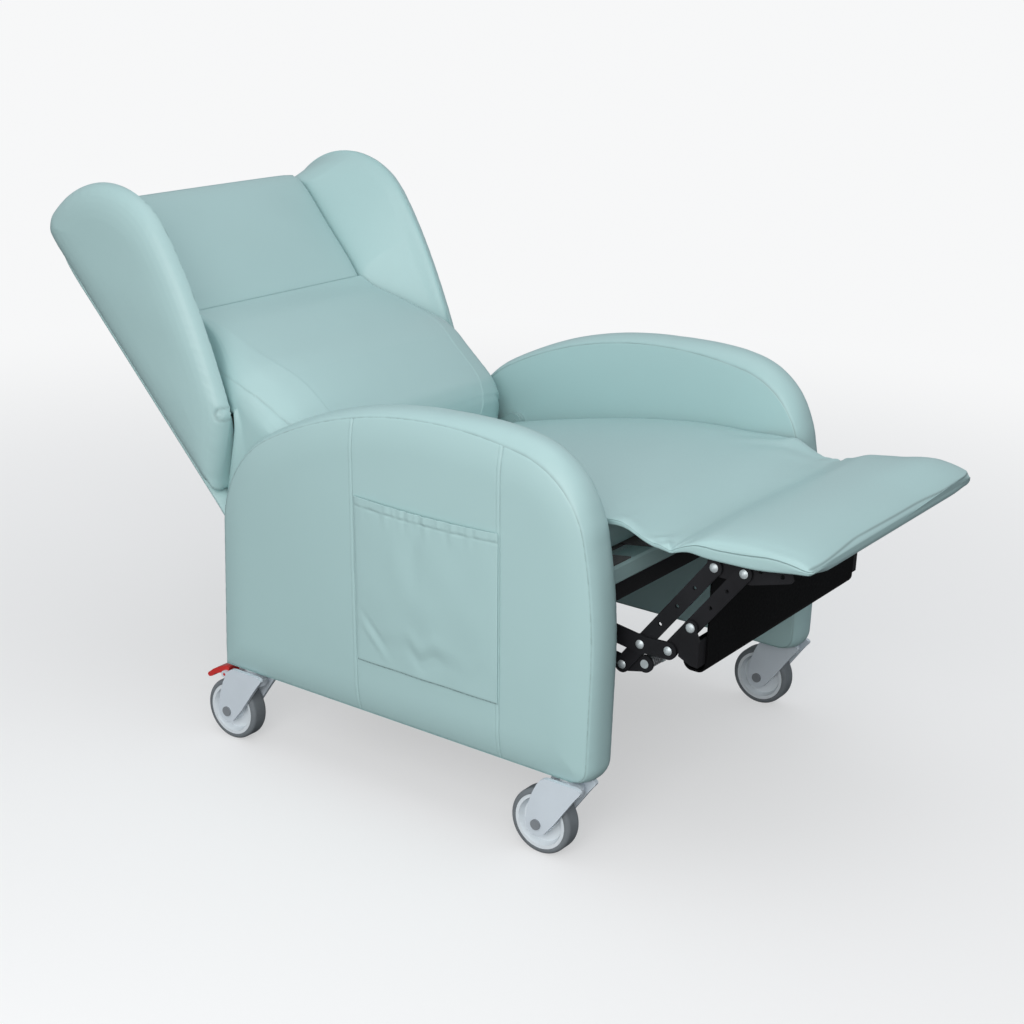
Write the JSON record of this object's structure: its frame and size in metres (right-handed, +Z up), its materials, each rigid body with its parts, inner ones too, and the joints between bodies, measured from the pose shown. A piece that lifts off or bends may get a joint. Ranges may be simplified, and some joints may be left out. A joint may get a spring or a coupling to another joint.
{
  "type": "recliner",
  "caption": "Wing-back reclining care chair on swivel casters, padded in smooth vinyl, with a linked footrest that folds down, a raising backrest and a side pocket.",
  "frame": {"origin": "on the floor, midway across the chair and midway between its rearmost and foremost points as posed in the picture", "axes": "-Y is the front, +X is the sitter's left, +Z is up"},
  "size_m": [0.7231, 1.3807, 0.8468],
  "materials": {
    "vinyl": "smooth matt coated vinyl with a fine grain",
    "timber": "plain plywood and beech",
    "black_steel": "satin black powder coat",
    "zinc": "zinc plated",
    "webbing": "woven elastic webbing",
    "fork": "light grey moulded housing",
    "rim": "white moulded wheel centre",
    "tyre": "mid grey soft tread",
    "pedal": "red moulded pedal"
  },
  "bodies": {
    "base": {"side_cover_right": "vinyl", "side_cover_left": "vinyl", "side_frames": "timber", "side_pocket": "vinyl", "seat_front_rail": "vinyl", "seat_rails": "timber", "seat_webbing": "webbing", "seat_cushion": "vinyl", "mechanism_rail": "black_steel", "mechanism_plates": "black_steel", "back_brackets": "black_steel", "rear_stretcher": "timber", "caster_mounts": "zinc", "calf_panel": "vinyl"},
    "back": {"back_frame": "timber", "back_arms": "black_steel", "back_webbing": "webbing", "lumbar_cushion": "vinyl", "headrest_cushion": "vinyl", "wing_right": "vinyl", "wing_left": "vinyl", "wing_boards": "timber", "outside_back": "vinyl"},
    "footrest": {"footrest_board": "timber", "footrest_pad": "vinyl", "footrest_brackets": "black_steel", "footrest_rivets": "zinc"},
    "upper_links": {"upper_link_right": "black_steel", "upper_link_left": "black_steel", "upper_link_rivets": "zinc", "torque_tube": "black_steel"},
    "lower_links": {"lower_link_right": "black_steel", "lower_link_left": "black_steel", "lower_link_rivets": "zinc", "stud_springs": "zinc"},
    "long_links": {"long_link_right": "black_steel", "long_link_left": "black_steel"},
    "front_links": {"front_link_right": "black_steel", "front_link_left": "black_steel", "gusset_plates": "black_steel", "front_board": "black_steel"},
    "caster_front_right": {"caster_fork_front_right": "fork", "caster_axle_front_right": "zinc"},
    "wheel_front_right": {"caster_rim_front_right": "rim", "caster_tyre_front_right": "tyre"},
    "caster_front_left": {"caster_fork_front_left": "fork", "caster_axle_front_left": "zinc"},
    "wheel_front_left": {"caster_rim_front_left": "rim", "caster_tyre_front_left": "tyre"},
    "caster_rear_right": {"caster_fork_rear_right": "fork", "caster_axle_rear_right": "zinc"},
    "wheel_rear_right": {"caster_rim_rear_right": "rim", "caster_tyre_rear_right": "tyre"},
    "caster_rear_left": {"caster_fork_rear_left": "fork", "caster_axle_rear_left": "zinc"},
    "wheel_rear_left": {"caster_rim_rear_left": "rim", "caster_tyre_rear_left": "tyre"},
    "pedal_right": {"brake_pedal_right": "pedal"},
    "pedal_left": {"brake_pedal_left": "pedal"}
  },
  "joints": [
    {"name": "footrest_fold", "type": "hinge", "parent": "base", "child": "footrest", "pos_m": [0, -0.385, 0.477], "axis": [1, 0, 0], "range_deg": [0, 90], "deforming": ["calf_panel"]},
    {"name": "upper_links_swing", "type": "hinge", "parent": "base", "child": "upper_links", "pos_m": [0, -0.281, 0.34], "axis": [1, 0, 0], "range_deg": [0, 90]},
    {"name": "lower_links_swing", "type": "hinge", "parent": "base", "child": "lower_links", "pos_m": [0, -0.251, 0.3], "axis": [1, 0, 0], "range_deg": [0, 90]},
    {"name": "long_links_pivot", "type": "hinge", "parent": "upper_links", "child": "long_links", "pos_m": [0, -0.434, 0.317], "axis": [1, 0, 0], "range_deg": [-90, 0]},
    {"name": "front_links_pivot", "type": "hinge", "parent": "upper_links", "child": "front_links", "pos_m": [0, -0.479, 0.319], "axis": [1, 0, 0], "range_deg": [-90, 0]},
    {"name": "back_recline", "type": "hinge", "parent": "base", "child": "back", "pos_m": [0, 0.152, 0.415], "axis": [1, 0, 0], "range_deg": [0, 34]},
    {"name": "swivel_front_right", "type": "hinge", "parent": "base", "child": "caster_front_right", "pos_m": [-0.333, -0.378, 0.11], "axis": [0, 0, 1], "continuous": true},
    {"name": "spin_front_right", "type": "hinge", "parent": "caster_front_right", "child": "wheel_front_right", "pos_m": [-0.333, -0.343, 0.05], "axis": [1, 0, 0], "continuous": true},
    {"name": "swivel_front_left", "type": "hinge", "parent": "base", "child": "caster_front_left", "pos_m": [0.333, -0.378, 0.11], "axis": [0, 0, 1], "continuous": true},
    {"name": "spin_front_left", "type": "hinge", "parent": "caster_front_left", "child": "wheel_front_left", "pos_m": [0.333, -0.343, 0.05], "axis": [1, 0, 0], "continuous": true},
    {"name": "swivel_rear_right", "type": "hinge", "parent": "base", "child": "caster_rear_right", "pos_m": [-0.333, 0.2194, 0.11], "axis": [0, 0, 1], "continuous": true},
    {"name": "spin_rear_right", "type": "hinge", "parent": "caster_rear_right", "child": "wheel_rear_right", "pos_m": [-0.333, 0.2544, 0.05], "axis": [1, 0, 0], "continuous": true},
    {"name": "swivel_rear_left", "type": "hinge", "parent": "base", "child": "caster_rear_left", "pos_m": [0.333, 0.2194, 0.11], "axis": [0, 0, 1], "continuous": true},
    {"name": "spin_rear_left", "type": "hinge", "parent": "caster_rear_left", "child": "wheel_rear_left", "pos_m": [0.333, 0.2544, 0.05], "axis": [1, 0, 0], "continuous": true},
    {"name": "brake_right", "type": "hinge", "parent": "caster_rear_right", "child": "pedal_right", "pos_m": [-0.333, 0.2664, 0.108], "axis": [1, 0, 0], "range_deg": [-12, 0]},
    {"name": "brake_left", "type": "hinge", "parent": "caster_rear_left", "child": "pedal_left", "pos_m": [0.333, 0.2664, 0.108], "axis": [1, 0, 0], "range_deg": [-12, 0]}
  ],
  "couplings": [
    {"joint": "upper_links_swing", "follows": "footrest_fold", "ratio": 1},
    {"joint": "lower_links_swing", "follows": "footrest_fold", "ratio": 1},
    {"joint": "long_links_pivot", "follows": "footrest_fold", "ratio": -1},
    {"joint": "front_links_pivot", "follows": "footrest_fold", "ratio": -1}
  ]
}
